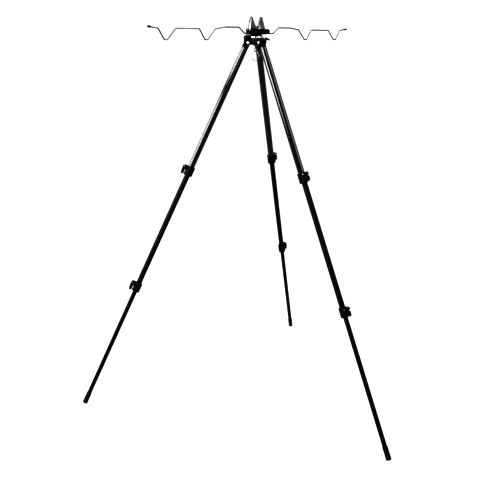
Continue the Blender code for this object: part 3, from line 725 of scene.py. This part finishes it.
def hub_mesh():
    """The leg crown: a round core that the head turns on, with three clevises and a clamp ring's seat."""
    core = turned([(CORE_RADIUS, HUB_BOTTOM), (CORE_RADIUS, CORE_TOP)], 100)
    inner, step = CORE_RADIUS - 0.0025, CLAMP_BOTTOM + GAP
    slot_outline = [(inner, BELOW_HUB), (BEYOND_HEAD, BELOW_HUB), (BEYOND_HEAD, ABOVE_HUB)]
    slot_outline += [(CLAMP_RADIUS, ABOVE_HUB), (CLAMP_RADIUS, step), (inner, step)]
    clevises, cuts = [], []
    for azimuth, top in zip(LEG_AZIMUTHS, CLEVIS_TOPS):
        clevis = clevis_shape(top)
        slot = extruded(slot_outline, -TONGUE_HALF - GAP, TONGUE_HALF + GAP, "XZ")
        hole = cross_hole(BOLT_RADIUS, HINGE_RADIUS, 0)
        for shape in (clevis, slot, hole):
            shape.transform(Matrix.Rotation(math.radians(azimuth), 4, "Z"))
        clevises.append(clevis)
        cuts += [slot, hole]
    cuts.append(cylinder(CENTRE_BOLT_RADIUS + GAP, (0, 0, BELOW_HUB), (0, 0, ABOVE_HUB)))
    return shaped(core, "hub_body", clevises, cuts, bevel=0.0006)


def eye_bolt_mesh():
    """The centre bolt: a flange under the hub, a shank up into the head and a smooth eye below."""
    top = FORK_SEAT - GAP
    low = HUB_BOTTOM - GAP
    radius = CENTRE_BOLT_RADIUS
    profile = [(radius - 0.0005, top), (radius, top - 0.0005), (radius, low), (0.0071, low)]
    profile += [(0.0075, low - 0.0004), (0.0075, low - 0.0022), (0.0070, low - 0.0027)]
    profile += [(0.0030, low - 0.0037), (0.0022, EYE_HEIGHT + EYE_RADIUS)]
    return shaped(turned(profile), "centre_eye_bolt", [wire_ring(EYE_HEIGHT, EYE_RADIUS, EYE_WIRE)])


def ring_mesh():
    """The hanging ring, with its origin in the eye's lowest bar, which it swings about."""
    middle = EYE_WIRE + GAP + RING_WIRE - RING_RADIUS
    bm = wire_ring(middle, RING_RADIUS, RING_WIRE)
    bm.transform(Matrix.Rotation(math.pi / 2, 4, "Z"))
    return shaped(bm, "hanging_ring")


def swivel_lever_mesh():
    """The clamp ring round the hub's core, with a flat arm that drops towards its grip."""
    bore = CORE_RADIUS + GAP
    band = [(bore, CLAMP_BOTTOM), (CLAMP_RADIUS, CLAMP_BOTTOM)]
    band += [(CLAMP_RADIUS, CLAMP_TOP), (bore, CLAMP_TOP)]
    outline = [(CLAMP_RADIUS - 0.001, 0.0135), (0.0265, 0.0130), (0.0355, 0.0080), (0.0355, 0.0103)]
    outline += [(0.0265, 0.0158), (CLAMP_RADIUS - 0.001, 0.0166)]
    arm = extruded(outline, -0.0040, 0.0040, "XZ")
    return shaped(turned(band, 96, hollow=True), "swivel_lever", [arm], bevel=0.0005)


def lever_grip_mesh():
    """A plastic sleeve over the outer end of the swivel lever's arm."""
    outline = [(0.0292, 0.0101), (0.0305, 0.0086), (0.0385, 0.0052)]
    outline += arc((0.0392, 0.0078), 0.0024, -70, 70, 12)
    outline += [(0.0380, 0.0112), (0.0305, 0.0157), (0.0292, 0.0156)]
    sleeve = extruded(outline, -0.0052, 0.0052, "XZ")
    pocket = [(0.0260, 0.0118), (0.0358, 0.00745), (0.0358, 0.0106), (0.0260, 0.0166)]
    hollow = extruded(pocket, -0.0043, 0.0043, "XZ")
    return shaped(sleeve, "swivel_lever_grip", cut=[hollow], bevel=0.0005)


def head_outline():
    """The head block's plan, with rounded corners."""
    radius = 0.005
    front, back = HEAD_FRONT + radius, HEAD_BACK - radius
    side = HEAD_HALF_X - radius
    corners = ((side, back, 0), (-side, back, 90), (-side, front, 180), (side, front, 270))
    outline = []
    for x, y, start in corners:
        outline += arc((x, y), radius, start, start + 90, 12)
    return outline


def fork_pin_shape(extra_radius, extra_length):
    """The cross pin that holds the fork, grown by the amounts given to make its hole."""
    height, recess = FORK_SEAT + 0.0028, 0.0005
    front = (0.0, HEAD_FRONT + recess - extra_length, height)
    back = (0.0, HEAD_BACK - recess + extra_length, height)
    return cylinder(FORK_PIN_RADIUS + extra_radius, front, back)


def head_mesh():
    """The head block, with a seat for the fork and a slotted lug for each wire arm."""
    lugs, cuts = [], []
    slot_half = WIRE_RADIUS + GAP
    inner = HEAD_HALF_X - 0.006
    for sign in (-1, 1):
        end = arc((ARM_PIN_X, ARM_PIN_Z), LUG_RADIUS, -90, 90, 24)
        outline = [(inner, ARM_PIN_Z - LUG_RADIUS), *end, (inner, ARM_PIN_Z + LUG_RADIUS)]
        lug = [(sign * x, z) for x, z in outline]
        lugs.append(extruded(lug, HEAD_FRONT + 0.0001, LUG_BACK, "XZ"))
        near, far = sorted((sign * (ARM_PIN_X - ARM_EYE - WIRE_RADIUS - 0.001), sign * 0.045))
        cuts.append(box((near, ARM_Y - slot_half, 0), (far, ARM_Y + slot_half, ABOVE_HEAD)))
        ends = (sign * ARM_PIN_X, HEAD_FRONT + 0.0015, ARM_PIN_Z), (sign * ARM_PIN_X, 0, ARM_PIN_Z)
        cuts.append(cylinder(ARM_PIN_RADIUS + GAP, *ends))
    seat_half = FORK_HALF_DEPTH + GAP
    cuts.append(box((-BEYOND_HEAD, -seat_half, FORK_SEAT), (BEYOND_HEAD, seat_half, ABOVE_HEAD)))
    cuts.append(cylinder(CENTRE_BOLT_RADIUS + GAP, (0, 0, 0), (0, 0, ABOVE_HEAD)))
    cuts.append(fork_pin_shape(GAP, 0.01))
    block = extruded(head_outline(), HEAD_BOTTOM, HEAD_TOP)
    return shaped(block, "head_block", lugs, cuts, bevel=0.0006)


def fork_mesh():
    """The rod fork: two horns that taper both ways from a broad foot, with a rounded valley."""
    foot, tip_x, tip_radius, valley_radius = 0.030, 0.019, 0.0035, 0.007
    right = [(foot - 0.0038, FORK_SEAT + GAP), (foot, FORK_SEAT + 0.0032), (foot, FORK_TAPER_START)]
    right += arc((tip_x, FORK_TIP - tip_radius), tip_radius, 10, 170, 18)
    right += arc((0, FORK_VALLEY + valley_radius), valley_radius, -20, -90, 14)
    left = [(-x, z) for x, z in reversed(right[:-1])]
    bm = extruded(right + left, -FORK_HALF_DEPTH, FORK_HALF_DEPTH, "XZ")
    for vert in bm.verts:
        share = max(0, (vert.co.z - FORK_TAPER_START) / (FORK_TIP - FORK_TAPER_START))
        vert.co.y *= 1 - share * (1 - FORK_TIP_HALF_DEPTH / FORK_HALF_DEPTH)
    return shaped(bm, "rod_fork", cut=[fork_pin_shape(GAP, 0.01)], bevel=0.0009)


def arm_path():
    """The right arm's centre line: an eye round its pin, a rise, two rod notches and a tip."""
    base = ARM_PIN_Z - ARM_EYE
    eye = arc((ARM_PIN_X, ARM_PIN_Z), ARM_EYE, 10, 270, 36)
    corners = [(ARM_PIN_X, base, 0), (0.057, base, 0.007), (0.077, ARM_RISE, 0.010)]
    corners += [(0.128, ARM_RISE, 0.030)]
    for place in NOTCH_PLACES:
        corners += [
            (place - NOTCH_INNER, ARM_LEVEL, 0.007),
            (place - NOTCH_FLOOR, ARM_LEVEL - NOTCH_DEPTH, 0.006),
            (place + NOTCH_FLOOR, ARM_LEVEL - NOTCH_DEPTH, 0.006),
            (place + NOTCH_OUTER, ARM_LEVEL, 0.006),
        ]
    corners += [(ARM_TIP, ARM_LEVEL + 0.004, 0)]
    return eye[:-1] + [tuple(point) for point in filleted(corners, 12)]


def arm_mesh(sign):
    """A wire arm on the side that the sign gives, with its origin on its hinge."""
    path = [(sign * (x - ARM_PIN_X), z - ARM_PIN_Z) for x, z in arm_path()]
    return shaped(swept(path, WIRE_RADIUS, WIRE_SIDES), "wire_arm")


def arm_cap_frame(sign):
    """The matrix at an arm's tip, with +Z on along the wire, from its hinge."""
    before, tip = arm_path()[-2:]
    along = Vector((sign * (tip[0] - before[0]), 0, tip[1] - before[1]))
    place = Vector((sign * (tip[0] - ARM_PIN_X), 0, tip[1] - ARM_PIN_Z))
    return Matrix.Translation(place) @ along.to_track_quat("Z", "Y").to_matrix().to_4x4()


def arm_cap_mesh():
    """A rubber cap over the wire's end, with a bead at its mouth."""
    bore = WIRE_RADIUS + GAP
    mouth = CAP_LENGTH - 0.003
    profile = [(0.0006, GAP), (bore, GAP), (bore, -mouth), (0.0032, -mouth), (0.0034, -mouth + 0.0004)]
    profile += [(0.0034, -mouth + 0.0012), (0.0031, -mouth + 0.0016), (0.0031, 0.0012)]
    profile += [(0.0029, 0.0020), (0.0022, 0.0026), (0.0012, 0.0029)]
    return shaped(turned(profile, 40), "arm_end_cap")


def arm_bolt_mesh():
    """An arm's hinge bolt along Y, with its round head behind the lug."""
    back = LUG_BACK - ARM_Y
    dome = [(0.0010, 0.0022), (0.0022, 0.0020), (0.0031, 0.0014), (0.0035, 0.0008), (0.0036, GAP)]
    profile = [*dome, (ARM_PIN_RADIUS, GAP), (ARM_PIN_RADIUS, HEAD_FRONT - LUG_BACK + 0.0020)]
    mesh = shaped(turned(profile), "arm_bolt")
    mesh.transform(Matrix.Translation((0, back, 0)) @ Matrix.Rotation(-math.pi / 2, 4, "X"))
    return mesh


def build_head():
    """Everything on the tripod's axis, from the hanging ring up to the fork."""
    axis = Matrix.Translation(JOINTS["head_swivel"]["pos_m"])
    turn = axis @ Matrix.Rotation(SWIVEL_LEVER_AZIMUTH, 4, "Z")
    show("hub_body", hub_mesh(), "black_plastic", axis)
    show("centre_eye_bolt", eye_bolt_mesh(), "blackened_steel", axis)
    show("hanging_ring", ring_mesh(), "blackened_steel", Matrix.Translation(JOINTS["ring_swing"]["pos_m"]))
    show("swivel_lever", swivel_lever_mesh(), "bright_steel", turn)
    show("swivel_lever_grip", lever_grip_mesh(), "black_plastic", turn)
    show("head_block", head_mesh(), "black_plastic", axis)
    show("rod_fork", fork_mesh(), "dark_fork_plastic", axis)
    show("fork_pin", shaped(fork_pin_shape(0, 0), "fork_pin", bevel=0.0003), "blackened_steel", axis)
    cap, bolt = arm_cap_mesh(), arm_bolt_mesh()
    for side, sign in (("left", -1), ("right", 1)):
        hinge = Matrix.Translation(JOINTS[f"{side}_arm_fold"]["pos_m"])
        show(f"{side}_wire_arm", arm_mesh(sign), "chromed_wire", hinge)
        show(f"{side}_arm_end_cap", cap, "black_rubber", hinge @ arm_cap_frame(sign))
        show(f"{side}_arm_bolt", bolt, "blackened_steel", hinge)


# ---------------------------------------------------------------- studio


def floor_material():
    """A matt floor that glows evenly, as a lit studio sweep does."""
    glow = {"Emission_Color": (1.0, 1.0, 1.0, 1.0), "Emission_Strength": 0.80}
    mat, tree, shader = surface("pale_floor", Specular_IOR_Level=0.0, **glow)
    cloud = noise(tree, 0.7, 3)
    colour = blended(tree, cloud, (0.05, 0.05, 0.05), (0.055, 0.055, 0.055))
    grain = bumped(tree, (noise(tree, 90, 3), 0.02, 0.001))
    dress(tree, shader, colour, ramp(tree, cloud, 0, 1, 0.85, 0.95), grain)
    return mat


def build_floor():
    """A wide plain pale floor."""
    mesh = finished(box((-FLOOR_HALF, -FLOOR_HALF, -FLOOR_DEPTH), (FLOOR_HALF, FLOOR_HALF, 0.0)), "floor")
    mesh.materials.append(floor_material())
    obj = bpy.data.objects.new("floor", mesh)
    bpy.context.scene.collection.objects.link(obj)


def softbox(name, azimuth, elevation, distance, size, power):
    """A rectangular soft light that faces the light target from a direction given in degrees."""
    turn, rise = math.radians(azimuth), math.radians(elevation)
    away = Vector((math.cos(turn) * math.cos(rise), math.sin(turn) * math.cos(rise), math.sin(rise)))
    light = bpy.data.lights.new(name, "AREA")
    light.shape = "RECTANGLE"
    light.size, light.size_y = size
    light.energy = power
    obj = bpy.data.objects.new(name, light)
    bpy.context.scene.collection.objects.link(obj)
    obj.location = LIGHT_TARGET + away * distance
    obj.rotation_euler = away.to_track_quat("Z", "Y").to_euler()
    obj.visible_camera = False


def build_world():
    """A sky that is white at the horizon and dark overhead."""
    world = bpy.data.worlds.new("studio")
    bpy.context.scene.world = world
    world.use_nodes = True
    tree = world.node_tree
    coords = add_node(tree, "ShaderNodeTexCoord")
    parts = add_node(tree, "ShaderNodeSeparateXYZ", {0: coords.outputs["Generated"]})
    level = ramp(tree, parts.outputs["Z"], *SKY_FADE, *SKY_LEVELS)
    background = tree.nodes["Background"]
    background.inputs["Color"].default_value = (1, 1, 1, 1)
    tree.links.new(level, background.inputs["Strength"])


def build_camera():
    """The camera, in front and to the left, at the height of the leg hinges and tipped down."""
    data = bpy.data.cameras.new("camera")
    data.lens = CAMERA_LENS
    data.shift_x, data.shift_y = CAMERA_SHIFT
    camera = bpy.data.objects.new("camera", data)
    bpy.context.scene.collection.objects.link(camera)
    turn = Matrix.Rotation(-CAMERA_HEADING, 4, "Z") @ Matrix.Rotation(math.pi / 2 - CAMERA_DIP, 4, "X")
    camera.matrix_world = Matrix.Translation(CAMERA_PLACE) @ turn @ Matrix.Rotation(CAMERA_ROLL, 4, "Z")
    bpy.context.scene.camera = camera


def build_studio():
    """The floor, the sky, the lights and the camera, with a hard contrast."""
    build_floor()
    build_world()
    for light in SOFTBOXES:
        softbox(*light)
    build_camera()
    settings = bpy.context.scene.view_settings
    settings.view_transform = "Standard"
    settings.look = "High Contrast"


build_legs()
build_head()
build_studio()
